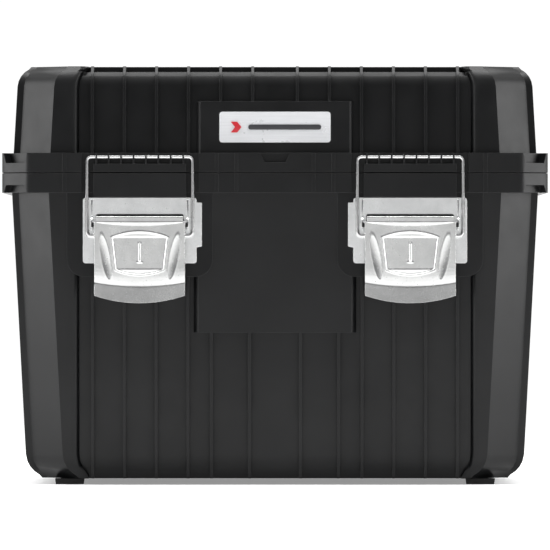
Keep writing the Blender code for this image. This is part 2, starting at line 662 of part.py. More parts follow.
def make_lid_shell():
    top = CASE_HEIGHT
    panel_top = top - LID_PANEL_DROP
    rings = [lid_ring(LID_RIM_TOP - OVERLAP, 0, True), lid_ring(top - LID_TOP_RADIUS, 0, True)]
    for drop in (7, 3, 0):
        rings.append(lid_ring(panel_top - drop * MM, 0, True))
    reach = LID_RIB_REACH - PANEL_DEPTH - LID_PANEL_RADIUS
    for rise in (0.8, 3, 5):
        rings.append(lid_ring(panel_top + rise * MM, 0, True, reach))
    shell = loft("lid_shell", rings)
    join(shell, slab("lid_rim", rim_outline(), "Z", (LID_RIM_BOTTOM, LID_RIM_TOP), collection=cutters))
    face = -lid_half(HALF_D, LID_RIM_TOP) - PLATE_PROUD
    plate = slab("lid_plate", plan_plate(LID_PLATE_WIDTH, LID_PLATE_BEVEL, face, face + 2 * OVERLAP),
                 "Z", (LID_RIM_TOP - 2 * MM, LID_PLATE_TOP_Z), collection=cutters)
    lean(plate, LID_DRAFT, LID_RIM_TOP)
    join(shell, plate)
    for side, sign in SIDES:
        centre = sign * LATCH_X
        join(shell, box(f"lid_catch_{side}", (centre - CATCH_WIDTH / 2, centre + CATCH_WIDTH / 2),
                        (CATCH_Y, BAY_Y + 2 * MM), (LID_RIM_BOTTOM + 0.2 * MM, CATCH_TOP_Z),
                        collection=cutters))
        for index in range(TOOTH_COUNT):
            x = centre + (index - (TOOTH_COUNT - 1) / 2) * TOOTH_PITCH
            join(shell, slab(f"comb_{side}_{index}", comb_outline(), "X",
                             (x - TOOTH_WIDTH / 2, x + TOOTH_WIDTH / 2), collection=cutters))
    join_knuckles(shell, "lid", (1, 3), PARTING_Z + HINGE_WEB_HEIGHT)
    roof = top - LID_PANEL_DROP - WALL
    levels = (PARTING_Z - 2 * MM, roof - LID_TOP_RADIUS, roof - 7 * MM, roof - 2.5 * MM, roof)
    cut(shell, loft("lid_cavity", [lid_ring(z, WALL, False) for z in levels], collection=cutters))
    pocket_w, pocket_d, pocket_h = POCKET_SIZE
    tub = round_box((-pocket_w / 2 - POCKET_WALL, pocket_w / 2 + POCKET_WALL),
                    (-pocket_d / 2 - WALL, pocket_d / 2 + WALL), POCKET_RADIUS + WALL)
    join(shell, slab("handle_tub", tub, "Z", (top - pocket_h - POCKET_FLOOR, roof + 2 * MM), collection=cutters))
    pocket = round_box((-pocket_w / 2, pocket_w / 2), (-pocket_d / 2, pocket_d / 2), POCKET_RADIUS)
    cut(shell, slab("handle_pocket", pocket, "Z", (top - pocket_h, top + 5 * MM), collection=cutters))
    for side, sign in SIDES:
        inner = sign * (pocket_w / 2 - 1 * MM)
        outer = sign * (pocket_w / 2 + HANDLE_PIN_EMBED + 1 * MM)
        cut(shell, rod(f"handle_bore_{side}", sorted((inner, outer)), HANDLE_PIVOT_Y, HANDLE_PIVOT_Z,
                       HANDLE_PIN_RADIUS + FIT_GAP, collection=cutters))
    bore_hinges(shell, "lid")
    cut(shell, corner_notches("lid_corner_notches", LID_RIM_TOP + 1 * MM, LID_RIM_TOP - CORNER_NOTCH[2]))
    wide, narrow, deep, sunk = FINGER_NOTCH
    notch = [(-narrow / 2, LID_RIM_TOP - deep), (narrow / 2, LID_RIM_TOP - deep),
             (wide / 2, LID_RIM_TOP + 1 * MM), (-wide / 2, LID_RIM_TOP + 1 * MM)]
    cut(shell, slab("finger_notch", notch, "Y", (-HALF_D - 1 * MM, -HALF_D + sunk), collection=cutters))
    width, height, _ = LABEL_SIZE
    seat = round_box((-width / 2 - FIT_GAP, width / 2 + FIT_GAP),
                     (LABEL_Z - height / 2 - FIT_GAP, LABEL_Z + height / 2 + FIT_GAP), LABEL_RADIUS)
    seat = slab("label_seat", seat, "Y", (LABEL_Y - OVERLAP, LABEL_Y + LABEL_SINK), collection=cutters)
    lean(seat, LID_DRAFT, LABEL_Z)
    cut(shell, seat)
    return shell


def comb_outline():
    """One comb web: a saddle under the bail and a tooth in front of it."""
    saddle = BAIL_TOP_Z - BAIL_WIRE / 2 - FIT_GAP
    back = BAY_Y + 2 * MM
    low = CATCH_TOP_Z - 2 * MM
    tooth = CATCH_Y + TOOTH_DEPTH
    return [(CATCH_Y + TOOTH_SETBACK, low), (back, low), (back, saddle), (tooth, saddle),
            (tooth, TOOTH_TOP_Z), (CATCH_Y + TOOTH_SETBACK, TOOTH_TOP_Z)]


LABEL_Y = -lid_half(HALF_D, LABEL_Z) - PLATE_PROUD
HANDLE_PIVOT_Y = -POCKET_SIZE[1] / 2 + HANDLE_GAP + HANDLE_THICKNESS / 2 + 1 * MM
HANDLE_PIVOT_Z = CASE_HEIGHT - POCKET_SIZE[2] / 2 + 1 * MM


def make_label():
    width, height, thickness = LABEL_SIZE
    outline = round_box((-width / 2, width / 2), (LABEL_Z - height / 2, LABEL_Z + height / 2), LABEL_RADIUS)
    back = LABEL_Y + LABEL_SINK - FIT_GAP
    label = slab("label_plate", outline, "Y", (back - thickness, back), SILVER)
    lean(label, LID_DRAFT, LABEL_Z)
    return label


def make_feet():
    for side, sign in SIDES:
        for end, way in (("front", -1), ("rear", 1)):
            x = sign * (HALF_W - FOOT_INSET[0])
            y = way * (HALF_D - FOOT_INSET[1])
            foot = box(f"foot_{end}_{side}", (x - FOOT_SIZE / 2, x + FOOT_SIZE / 2),
                       (y - FOOT_SIZE / 2, y + FOOT_SIZE / 2), (0, FOOT_HEIGHT - FIT_GAP), RUBBER)
            for vertex in foot.data.vertices:
                if vertex.co.z < FOOT_HEIGHT / 2:
                    vertex.co.x -= math.copysign(FOOT_TAPER, vertex.co.x - x)
                    vertex.co.y -= math.copysign(FOOT_TAPER, vertex.co.y - y)


# Latch pieces

def make_latch_plate(side, centre):
    """The base plate with its side wings and the two ears that carry the lever's pin."""
    half = PLATE_WIDTH / 2
    wing = half + WING_WIDTH
    plain = [(half, PLATE_BOTTOM_Z, PLATE_CORNER), (half, PLATE_TOP_Z, PLATE_CORNER)]
    winged = [(half, PLATE_BOTTOM_Z, PLATE_CORNER), (half, WING_BOTTOM_Z - WING_SLOPE, 0), (wing, WING_BOTTOM_Z, 0),
              (wing, WING_TOP_Z, 0), (half, WING_TOP_Z, 0), (half, PLATE_TOP_Z, PLATE_CORNER)]
    right, left = (plain, winged) if centre > 0 else (winged, plain)
    left = [(-x, z, r) for x, z, r in reversed(left)]
    outline = [(centre + x, z) for x, z in rounded(right + left)]
    plate = slab(f"latch_plate_{side}", outline, "Y", (PLATE_FRONT_Y, PLATE_BACK_Y), STEEL)
    window = rounded([(centre + x, z, WINDOW_CORNER) for x, z in
                      ((WINDOW_HALF, WINDOW_BOTTOM_Z), (WINDOW_HALF, WINDOW_TOP_Z),
                       (-WINDOW_HALF, WINDOW_TOP_Z), (-WINDOW_HALF, WINDOW_BOTTOM_Z))])
    cut(plate, slab(f"plate_window_{side}", window, "Y", (PLATE_FRONT_Y - 1 * MM, PLATE_BACK_Y + 1 * MM),
                    collection=cutters))
    lug_front = LEVER_PIVOT_Y - 4.5 * MM
    ear = rounded([(PLATE_FRONT_Y + SHEET / 2, PLATE_TOP_Z - 1 * MM, 0),
                   (PLATE_FRONT_Y - 4 * MM, PLATE_TOP_Z - 1 * MM, 1 * MM),
                   (PLATE_FRONT_Y - 4 * MM, LEVER_PIVOT_Z + 6 * MM, 0),
                   (lug_front, LEVER_PIVOT_Z + 4.5 * MM, 4 * MM),
                   (lug_front, LEVER_PIVOT_Z - 4.5 * MM, 4 * MM),
                   (PLATE_FRONT_Y + SHEET / 2, LEVER_PIVOT_Z - 5.5 * MM, 0)])
    inner = LEVER_WIDTH / 2 + 1.4 * MM
    for sign in (-1, 1):
        span = sorted((centre + sign * inner, centre + sign * (inner + SHEET)))
        join(plate, slab(f"latch_ear_{side}_{sign}", ear, "X", span, collection=cutters))
    reach = inner + SHEET + 1 * MM
    cut(plate, rod(f"ear_bore_{side}", (centre - reach, centre + reach), LEVER_PIVOT_Y, LEVER_PIVOT_Z,
                   LEVER_PIN_RADIUS + FIT_GAP, collection=cutters))
    for rivet in (-1, 1):
        x = centre + rivet * RIVET_SPAN / 2
        cut(plate, slab(f"plate_rivet_hole_{side}_{rivet}", rivet_circle(x, RIVET_RADIUS + FIT_GAP), "Y",
                        (PLATE_FRONT_Y - 1 * MM, PLATE_BACK_Y + 1 * MM), collection=cutters))
        make_rivet(f"latch_rivet_{side}_{'inner' if rivet * centre < 0 else 'outer'}", x)
    return plate


def make_rivet(name, x):
    """A round-headed rivet, turned about an axis along Y."""
    front = PLATE_FRONT_Y - FIT_GAP
    head = [(0, 0), (1.6 * RIVET_RADIUS, 0.3 * MM), (2 * RIVET_RADIUS, 1.4 * MM),
            (RIVET_RADIUS, 1.4 * MM), (RIVET_RADIUS, 1.4 * MM + SHEET + 4 * MM), (0, 1.4 * MM + SHEET + 4 * MM)]
    bm = bmesh.new()
    chain = [bm.verts.new((radius, 0, -along)) for radius, along in head]
    for first, second in zip(chain, chain[1:]):
        bm.edges.new((first, second))
    rivet = from_bmesh(name, bm, STEEL)
    screw = rivet.modifiers.new("turn", "SCREW")
    screw.steps = 16
    screw.render_steps = 16
    screw.use_merge_vertices = True
    screw.merge_threshold = 0.00001
    rivet.rotation_euler = (math.pi / 2, 0, 0)
    rivet.location = (x, front - 1.4 * MM, RIVET_Z)
    return rivet


def lever_profile():
    """Side view (y, z) of the pressed lever: rolled over its pin, flat, then curled out."""
    front = [(LEVER_PIVOT_Y, LEVER_PIVOT_Z + KNUCKLE_RADIUS)]
    for step in range(1, 7):
        angle = math.pi / 2 + math.pi / 2 * step / 6
        front.append((LEVER_PIVOT_Y + KNUCKLE_RADIUS * math.cos(angle),
                      LEVER_PIVOT_Z + KNUCKLE_RADIUS * math.sin(angle)))
    face = LEVER_PIVOT_Y - KNUCKLE_RADIUS
    bend = ((0, 176), (-0.5, 170), (-0.6, 165), (-0.1, 160), (1.1, 155.5), (3.0, 151.5), (4.0, 149.9))
    front += [(face - out * MM, z * MM) for out, z in bend]
    back = [(face - out * MM + SHEET, z * MM) for out, z in bend[::-1]]
    back[0] = (back[0][0] - 0.6 * MM, back[0][1] - 0.1 * MM)
    back.append((face + SHEET, LEVER_PIVOT_Z - KNUCKLE_RADIUS - 1 * MM))
    return front + back + [(LEVER_PIVOT_Y, LEVER_PIVOT_Z - KNUCKLE_RADIUS),
                           (LEVER_PIVOT_Y + KNUCKLE_RADIUS * 0.7, LEVER_PIVOT_Z - KNUCKLE_RADIUS * 0.7),
                           (LEVER_PIVOT_Y + KNUCKLE_RADIUS, LEVER_PIVOT_Z),
                           (LEVER_PIVOT_Y + KNUCKLE_RADIUS * 0.7, LEVER_PIVOT_Z + KNUCKLE_RADIUS * 0.7)]


def arc_chain(half_chord, z_ends, z_middle, steps):
    """Points of an arc from right to left through a middle height."""
    sag = z_middle - z_ends
    radius = (half_chord ** 2 + sag ** 2) / (2 * abs(sag))
    centre = z_middle - math.copysign(radius, sag)
    sweep = math.asin(half_chord / radius)
    chain = []
    for step in range(steps + 1):
        angle = sweep * (1 - 2 * step / steps)
        chain.append((radius * math.sin(angle), centre + math.copysign(radius, sag) * math.cos(angle)))
    return chain


def make_lever(side, centre):
    half = LEVER_WIDTH / 2
    lever = slab(f"lever_{side}", lever_profile(), "X", (centre - half, centre + half), STEEL)
    bottom = arc_chain(half, LEVER_CORNER_Z, LEVER_BOTTOM_Z, 10)
    front = [(half, LEVER_PIVOT_Z + 2 * KNUCKLE_RADIUS)] + bottom + [(-half, LEVER_PIVOT_Z + 2 * KNUCKLE_RADIUS)]
    front = [(centre + x * (1 + 0.001), z) for x, z in front]
    trim = slab(f"lever_front_{side}", front, "Y", (LEVER_PIVOT_Y - 30 * MM, LEVER_PIVOT_Y + 30 * MM),
                collection=cutters)
    boolean(lever, "INTERSECT", trim)
    cheek = rounded([(LEVER_PIVOT_Y - KNUCKLE_RADIUS + 0.5 * MM, LEVER_PIVOT_Z, 0),
                     (LEVER_PIVOT_Y - KNUCKLE_RADIUS + 0.5 * MM, TRUNNION_Z - 10 * MM, 0),
                     (TRUNNION_Y + 1 * MM, TRUNNION_Z - 5.2 * MM, 3 * MM),
                     (TRUNNION_Y + 5 * MM, TRUNNION_Z, 4 * MM),
                     (LEVER_PIVOT_Y + 5 * MM, LEVER_PIVOT_Z, 0)])
    for sign in (-1, 1):
        span = sorted((centre + sign * (half - 0.1 * MM), centre + sign * (half - SHEET)))
        join(lever, slab(f"lever_cheek_{side}_{sign}", cheek, "X", span, collection=cutters))
    reach = half + 1 * MM
    cut(lever, rod(f"lever_bore_{side}", (centre - reach, centre + reach), LEVER_PIVOT_Y, LEVER_PIVOT_Z,
                   LEVER_PIN_RADIUS + FIT_GAP, collection=cutters))
    cut(lever, rod(f"trunnion_bore_{side}", (centre - reach, centre + reach), TRUNNION_Y, TRUNNION_Z,
                   TRUNNION_RADIUS + FIT_GAP, collection=cutters))
    face = LEVER_PIVOT_Y - KNUCKLE_RADIUS
    crown = arc_chain(23.5 * MM, 204 * MM, 209.3 * MM, 8)
    keel = arc_chain(20 * MM, 177.5 * MM, 172.7 * MM, 8)[::-1]
    dish = [(centre + x, z) for x, z in crown + keel]
    cut(lever, slab(f"lever_dish_{side}", dish, "Y", (face - 4 * MM, face + 0.8 * MM), collection=cutters))
    smooth(lever)
    return lever


def bail_points(centre):
    """The bail's centre line: in along the trunnion, up one leg, across, and down the other."""
    leg = BAIL_SPAN / 2
    path = rounded([(-BAIL_END, TRUNNION_Z, 0), (-leg, TRUNNION_Z, BAIL_CORNER), (-leg, BAIL_TOP_Z, BAIL_CORNER),
                    (leg, BAIL_TOP_Z, BAIL_CORNER), (leg, TRUNNION_Z, BAIL_CORNER), (BAIL_END, TRUNNION_Z, 0)], 5)
    rise = BAIL_TOP_Z - TRUNNION_Z
    return [(centre + x, TRUNNION_Y + BAIL_LEAN * (z - TRUNNION_Z) / rise, z) for x, z in path]


def make_latch(side, sign):
    centre = sign * LATCH_X
    make_latch_plate(side, centre)
    ear = LEVER_WIDTH / 2 + 1.4 * MM + SHEET
    rod(f"lever_pin_{side}", (centre - ear - 0.4 * MM, centre + ear + 0.4 * MM), LEVER_PIVOT_Y, LEVER_PIVOT_Z,
        LEVER_PIN_RADIUS, segments=16)
    lever = make_lever(side, centre)
    at_joint([lever], f"lever_{side}_axis", (centre, LEVER_PIVOT_Y, LEVER_PIVOT_Z))
    reach = LEVER_WIDTH / 2 + 0.6 * MM
    trunnion = rod(f"trunnion_{side}", (centre - reach, centre + reach), TRUNNION_Y, TRUNNION_Z, TRUNNION_RADIUS)
    cut(trunnion, rod(f"trunnion_hollow_{side}", (centre - reach - 1 * MM, centre + reach + 1 * MM), TRUNNION_Y,
                      TRUNNION_Z, BAIL_WIRE / 2 + FIT_GAP, collection=cutters, segments=16))
    bail = wire(f"bail_{side}", bail_points(centre), BAIL_WIRE)
    at_joint([trunnion, bail], f"trunnion_{side}_axis", (centre, TRUNNION_Y, TRUNNION_Z))


# Carry handle

def make_carry_handle():
    pocket_w, pocket_d, _ = POCKET_SIZE
    half = pocket_w / 2 - HANDLE_GAP
    tail = HANDLE_PIVOT_Y - HANDLE_THICKNESS / 2
    nose = pocket_d / 2 - HANDLE_GAP - GRIP_SKIN
    bar = nose - HANDLE_BAR
    end = 0.45 * HANDLE_ARM
    outline = rounded([(-half, tail, end), (-half + HANDLE_ARM, tail, end), (-half + HANDLE_ARM, bar, 6 * MM),
                       (half - HANDLE_ARM, bar, 6 * MM), (half - HANDLE_ARM, tail, end), (half, tail, end),
                       (half, nose, 10 * MM), (-half, nose, 10 * MM)], 4)
    z = (HANDLE_PIVOT_Z - HANDLE_THICKNESS / 2, HANDLE_PIVOT_Z + HANDLE_THICKNESS / 2)
    handle = slab("carry_handle", outline, "Z", z)
    bore = pocket_w / 2
    cut(handle, rod("handle_cross_bore", (-bore, bore), HANDLE_PIVOT_Y, HANDLE_PIVOT_Z,
                    HANDLE_PIN_RADIUS + FIT_GAP, collection=cutters))
    skin = round_box((bar - GRIP_SKIN, nose + GRIP_SKIN), (z[0] - GRIP_SKIN, z[1] + GRIP_SKIN), 6 * MM, 4)
    grip = slab("handle_grip", skin, "X", (-GRIP_LENGTH / 2, GRIP_LENGTH / 2), RUBBER)
    cut(grip, box("grip_hollow", (-GRIP_LENGTH, GRIP_LENGTH), (bar - FIT_GAP, nose + FIT_GAP),
                  (z[0] - FIT_GAP, z[1] + FIT_GAP), collection=cutters))
    smooth(grip)
    at_joint([handle, grip], "carry_handle_axis", (0, HANDLE_PIVOT_Y, HANDLE_PIVOT_Z))
    for side, sign in SIDES:
        limits = sorted((sign * (half - HANDLE_ARM + 1 * MM), sign * (pocket_w / 2 + HANDLE_PIN_EMBED)))
        rod(f"handle_pin_{side}", limits, HANDLE_PIVOT_Y, HANDLE_PIVOT_Z, HANDLE_PIN_RADIUS)


# Tray

def tray_half(size, inset):
    """Half the tray's width or depth at its top: inside the sunk panels, with a gap."""
    return case_half(size, TRAY_TOP_Z - TRAY_HEIGHT) - PANEL_DEPTH - WALL - TRAY_GAP - inset


def tray_outline(inset):
    half_w = tray_half(HALF_W, inset)
    half_d = tray_half(HALF_D, inset)
    quarter = [(half_w - TRAY_CHAMFER, -half_d, 6 * MM), (half_w, -half_d + TRAY_CHAMFER, 6 * MM)]
    right = quarter + [(x, -y, r) for x, y, r in reversed(quarter)]
    left = [(-x, y, r) for x, y, r in reversed(right)]
    return rounded(right + left)


def make_tray():
    bottom = TRAY_TOP_Z - TRAY_HEIGHT
    rings = [[(x, y, z) for x, y in tray_outline(inset)]
             for z, inset in ((bottom, TRAY_TAPER + 3 * MM), (bottom + 4 * MM, TRAY_TAPER), (TRAY_TOP_Z, 0))]
    tray = loft("tray_shell", rings)
    inner_w = tray_half(HALF_W, TRAY_TAPER) - TRAY_WALL
    inner_d = tray_half(HALF_D, TRAY_TAPER) - TRAY_WALL
    spine = TRAY_SPINE / 2
    front_row = (-inner_w, -inner_w / 3 - TRAY_WALL / 2, inner_w / 3 - TRAY_WALL / 2, inner_w)
    rear_row = (-inner_w, -TRAY_WALL / 2, inner_w)
    for row, edges, depth in (("front", front_row, (-inner_d, -spine)), ("rear", rear_row, (spine, inner_d))):
        for index, (start, end) in enumerate(zip(edges, edges[1:])):
            left = start + (TRAY_WALL if index else 0)
            cut(tray, slab(f"tray_{row}_pocket_{index}", round_box((left, end), depth, POCKET_CORNER), "Z",
                           (bottom + TRAY_WALL, TRAY_TOP_Z + 5 * MM), collection=cutters))
    pivot_z = TRAY_TOP_Z + LUG_HEIGHT / 2
    lug = rounded([(-spine + 2 * MM, TRAY_TOP_Z - 2 * MM, 0), (spine - 2 * MM, TRAY_TOP_Z - 2 * MM, 0),
                   (spine - 3 * MM, TRAY_TOP_Z + LUG_HEIGHT + 0.5 * MM, 3 * MM),
                   (-spine + 3 * MM, TRAY_TOP_Z + LUG_HEIGHT + 0.5 * MM, 3 * MM)])
    lug_x = TRAY_HANDLE_SPAN / 2 - TRAY_HANDLE_BEND - 1 * MM - LUG_WIDTH / 2
    for side, sign in SIDES:
        x = sign * lug_x
        join(tray, slab(f"tray_lug_{side}", lug, "X", (x - LUG_WIDTH / 2, x + LUG_WIDTH / 2), collection=cutters))
        cut(tray, rod(f"tray_lug_bore_{side}", (x - LUG_WIDTH, x + LUG_WIDTH), 0, pivot_z,
                      TRAY_HANDLE_WIRE / 2 + FIT_GAP, collection=cutters))
    half = TRAY_HANDLE_SPAN / 2
    end = lug_x - LUG_WIDTH / 2 - 1 * MM
    path = rounded([(-end, 0, 0), (-half, 0, TRAY_HANDLE_BEND), (-half, TRAY_HANDLE_REACH, 8 * MM),
                    (half, TRAY_HANDLE_REACH, 8 * MM), (half, 0, TRAY_HANDLE_BEND), (end, 0, 0)], 5)
    handle = wire("tray_handle", [(x, y, pivot_z) for x, y in path], TRAY_HANDLE_WIRE)
    at_joint([handle], "tray_handle_axis", (0, 0, pivot_z))
    return tray


def make_hinge_pins():
    for side, sign in SIDES:
        first = knuckle_span(sign * HINGE_X, 0)[0]
        last = knuckle_span(sign * HINGE_X, HINGE_KNUCKLES - 1)[1]
        rod(f"hinge_pin_{side}", (first, last), HINGE_Y, PARTING_Z, HINGE_PIN_RADIUS)


make_case_shell()
lid_pieces = [make_lid_shell(), make_label()]
at_joint(lid_pieces, "lid_axis", (0, HINGE_Y, PARTING_Z))
make_feet()
make_hinge_pins()
for latch_side, latch_sign in SIDES:
    make_latch(latch_side, latch_sign)
make_carry_handle()
make_tray()
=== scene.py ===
import math

import bmesh
import bpy
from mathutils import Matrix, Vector


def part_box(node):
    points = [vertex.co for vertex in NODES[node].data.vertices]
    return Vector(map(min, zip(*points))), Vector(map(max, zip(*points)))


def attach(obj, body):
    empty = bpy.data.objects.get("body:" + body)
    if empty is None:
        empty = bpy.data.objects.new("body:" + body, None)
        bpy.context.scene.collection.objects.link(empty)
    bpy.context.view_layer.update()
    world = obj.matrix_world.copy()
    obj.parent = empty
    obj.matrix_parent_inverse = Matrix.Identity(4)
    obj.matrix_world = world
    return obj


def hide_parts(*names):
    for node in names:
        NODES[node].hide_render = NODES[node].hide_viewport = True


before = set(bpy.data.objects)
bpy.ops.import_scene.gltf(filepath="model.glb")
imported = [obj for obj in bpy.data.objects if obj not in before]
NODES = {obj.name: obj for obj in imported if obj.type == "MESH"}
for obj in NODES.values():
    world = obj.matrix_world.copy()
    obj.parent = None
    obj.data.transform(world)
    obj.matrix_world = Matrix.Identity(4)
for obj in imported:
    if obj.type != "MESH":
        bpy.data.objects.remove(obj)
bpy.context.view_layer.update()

MM = 0.001
SIDES = (("left", -1), ("right", 1))
LATCH_X = 111.2 * MM
SMOOTH_ANGLE = math.radians(32)
LIMIT_BEVEL_ANGLE = math.radians(60)
CAMERA_DISTANCE = 8.0
VIEW_WIDTH = 452.05 * MM
VIEW_Z = 172.9 * MM
FACE_Y = -165 * MM


# Node helpers

class Graph:
    """A short way to write a node tree: nodes are made by type, inputs are values or sockets."""

    def __init__(self, tree):
        self.tree = tree

    def node(self, kind, inputs=None, **settings):
        made = self.tree.nodes.new(kind)
        for name, value in settings.items():
            setattr(made, name, value)
        for name, value in (inputs or {}).items():
            self.feed(made.inputs[name], value)
        return made

    def feed(self, socket, value):
        if isinstance(value, bpy.types.NodeSocket):
            self.tree.links.new(value, socket)
        else:
            socket.default_value = value

    def math(self, operation, first, second=0.0, clamp=False):
        made = self.node("ShaderNodeMath", {0: first, 1: second}, operation=operation, use_clamp=clamp)
        return made.outputs[0]

    def remap(self, value, low, high, to_low=0.0, to_high=1.0):
        made = self.node("ShaderNodeMapRange", {"Value": value, "From Min": low, "From Max": high,
                                                "To Min": to_low, "To Max": to_high})
        return made.outputs["Result"]

    def noise(self, where, scale, detail=2.0, roughness=0.5):
        made = self.node("ShaderNodeTexNoise", {"Vector": where, "Scale": scale, "Detail": detail,
                                                "Roughness": roughness})
        return made.outputs["Fac"]

    def mix(self, factor, first, second):
        made = self.node("ShaderNodeMix", data_type="RGBA")
        self.feed(made.inputs[0], factor)
        self.feed(made.inputs[6], first)
        self.feed(made.inputs[7], second)
        return made.outputs[2]

    def bump(self, height, strength, distance, normal=None):
        inputs = {"Height": height, "Strength": strength, "Distance": distance}
        if normal is not None:
            inputs["Normal"] = normal
        return self.node("ShaderNodeBump", inputs).outputs["Normal"]

    def stretched(self, where, scale):
        return self.node("ShaderNodeMapping", {"Vector": where, "Scale": scale}).outputs["Vector"]


def new_material(name):
    made = bpy.data.materials.new(name)
    made.use_nodes = True
    graph = Graph(made.node_tree)
    shader = made.node_tree.nodes["Principled BSDF"]
    where = graph.node("ShaderNodeTexCoord").outputs["Object"]
    return made, graph, shader, where


def rounded_edges(graph, radius):
    """The normal with its sharp edges eased, and how near an outer edge the point is, from 0 to 1."""
    eased = graph.node("ShaderNodeBevel", {"Radius": radius}, samples=6).outputs["Normal"]
    flat = graph.node("ShaderNodeNewGeometry").outputs["Normal"]
    dot = graph.node("ShaderNodeVectorMath", {0: eased, 1: flat}, operation="DOT_PRODUCT")
    return eased, graph.remap(dot.outputs["Value"], 0.995, 0.80)


def moulded_plastic(name, dark, light, rough, specular, grain=2600.0):
    """Moulded plastic: uneven pigment, spark-eroded grain, and edges painted paler, partly rubbed wear and
    partly painted highlight.
    """
    made, graph, shader, where = new_material(name)
    eased, edge = rounded_edges(graph, 0.45 * MM)
    cloud = graph.noise(where, 22.0, 4.0)
    colour = graph.mix(graph.remap(cloud, 0.35, 0.65), (*dark, 1), (*light, 1))
    # Edges painted paler: partly rubbed wear, partly a painted highlight where rounded edges catch the light.
    rub_and_edge_highlight = graph.math("MULTIPLY", edge, graph.remap(graph.noise(where, 90.0, 3.0), 0.3, 0.7, 0.25, 0.8))
    worn_and_highlit = tuple(3.0 * value + 0.012 for value in light)
    graph.feed(shader.inputs["Base Color"], graph.mix(rub_and_edge_highlight, colour, (*worn_and_highlit, 1)))
    smear = graph.noise(where, 45.0, 5.0, 0.6)
    graph.feed(shader.inputs["Roughness"], graph.remap(smear, 0.3, 0.7, rough - 0.05, rough + 0.06))
    shader.inputs["Specular IOR Level"].default_value = specular
    pits = graph.noise(where, grain, 2.0)
    fine = graph.bump(pits, 0.35, 0.06 * MM, eased)
    waves = graph.noise(where, 14.0, 1.0)
    graph.feed(shader.inputs["Normal"], graph.bump(waves, 0.25, 0.35 * MM, fine))
    return made


def plated_steel(name, colour, rough, streak=(900.0, 900.0, 60.0), edge_radius=0.35):
    """Bright plated sheet or wire: faint draw lines, soft smudges, small scuffs, and edges painted toward a
    pale grey as a highlight.
    """
    made, graph, shader, where = new_material(name)
    eased, edge = rounded_edges(graph, edge_radius * MM)
    smudge = graph.noise(where, 55.0, 4.0, 0.6)
    dull = tuple(0.86 * value for value in colour)
    tint = graph.mix(graph.remap(smudge, 0.3, 0.7), (*dull, 1), (*colour, 1))
    # Painted highlight: edges blended toward a fixed pale grey.
    graph.feed(shader.inputs["Base Color"], graph.mix(edge, tint, (0.84, 0.84, 0.84, 1)))
    shader.inputs["Metallic"].default_value = 1.0
    lines = graph.noise(graph.stretched(where, streak), 1.0, 2.0)
    scuffs = graph.noise(where, 420.0, 6.0, 0.7)
    spread = graph.math("ADD", graph.remap(smudge, 0.3, 0.7, -0.03, 0.04),
                        graph.remap(scuffs, 0.58, 0.75, 0.0, 0.12))
    graph.feed(shader.inputs["Roughness"], graph.math("ADD", spread, rough))
    graph.feed(shader.inputs["Normal"], graph.bump(lines, 0.10, 0.02 * MM, eased))
    return made


def soft_rubber(name, tone, ridge_pitch=None):
    """Matte rubber with dust in its pores and edges painted paler as a highlight; a grip also has ridges
    across it.
    """
    made, graph, shader, where = new_material(name)
    eased, edge = rounded_edges(graph, 0.8 * MM)
    cloud = graph.noise(where, 120.0, 5.0, 0.65)
    dusty = tuple(2.2 * value + 0.004 for value in tone)
    colour = graph.mix(graph.remap(cloud, 0.45, 0.75), (*tone, 1), (*dusty, 1))
    # Painted highlight: edges blended toward a paler grey.
    graph.feed(shader.inputs["Base Color"], graph.mix(graph.math("MULTIPLY", edge, 0.35), colour,
                                                      (0.08, 0.08, 0.08, 1)))
    graph.feed(shader.inputs["Roughness"], graph.remap(cloud, 0.3, 0.7, 0.66, 0.84))
    shader.inputs["Specular IOR Level"].default_value = 0.3
    normal = graph.bump(graph.noise(where, 1500.0, 3.0), 0.5, 0.08 * MM, eased)
    if ridge_pitch:
        wave = graph.node("ShaderNodeTexWave", {"Vector": where, "Scale": math.pi / (10 * ridge_pitch)},
                          bands_direction="X", wave_profile="SIN")
        normal = graph.bump(wave.outputs["Fac"], 0.9, 0.9 * MM, normal)
    graph.feed(shader.inputs["Normal"], normal)
    return made


def satin_label(name, tone, rough):
    """Brushed silver film under clear lacquer."""
    made, graph, shader, where = new_material(name)
    lines = graph.noise(graph.stretched(where, (30.0, 30.0, 2600.0)), 1.0, 2.0)
    dull = tuple(0.9 * value for value in tone)
    graph.feed(shader.inputs["Base Color"], graph.mix(graph.remap(lines, 0.3, 0.7), (*dull, 1), (*tone, 1)))
    graph.feed(shader.inputs["Roughness"], graph.remap(graph.noise(where, 70.0, 4.0), 0.3, 0.7,
                                                       rough - 0.05, rough + 0.07))
    shader.inputs["Metallic"].default_value = 0.25
    eased, _ = rounded_edges(graph, 0.4 * MM)
    graph.feed(shader.inputs["Normal"], graph.bump(lines, 0.12, 0.015 * MM, eased))
    return made


BLACK = moulded_plastic("black_moulded_plastic", (0.0040, 0.0042, 0.0045),
                        (0.0062, 0.0065, 0.0069), 0.34, 0.25)
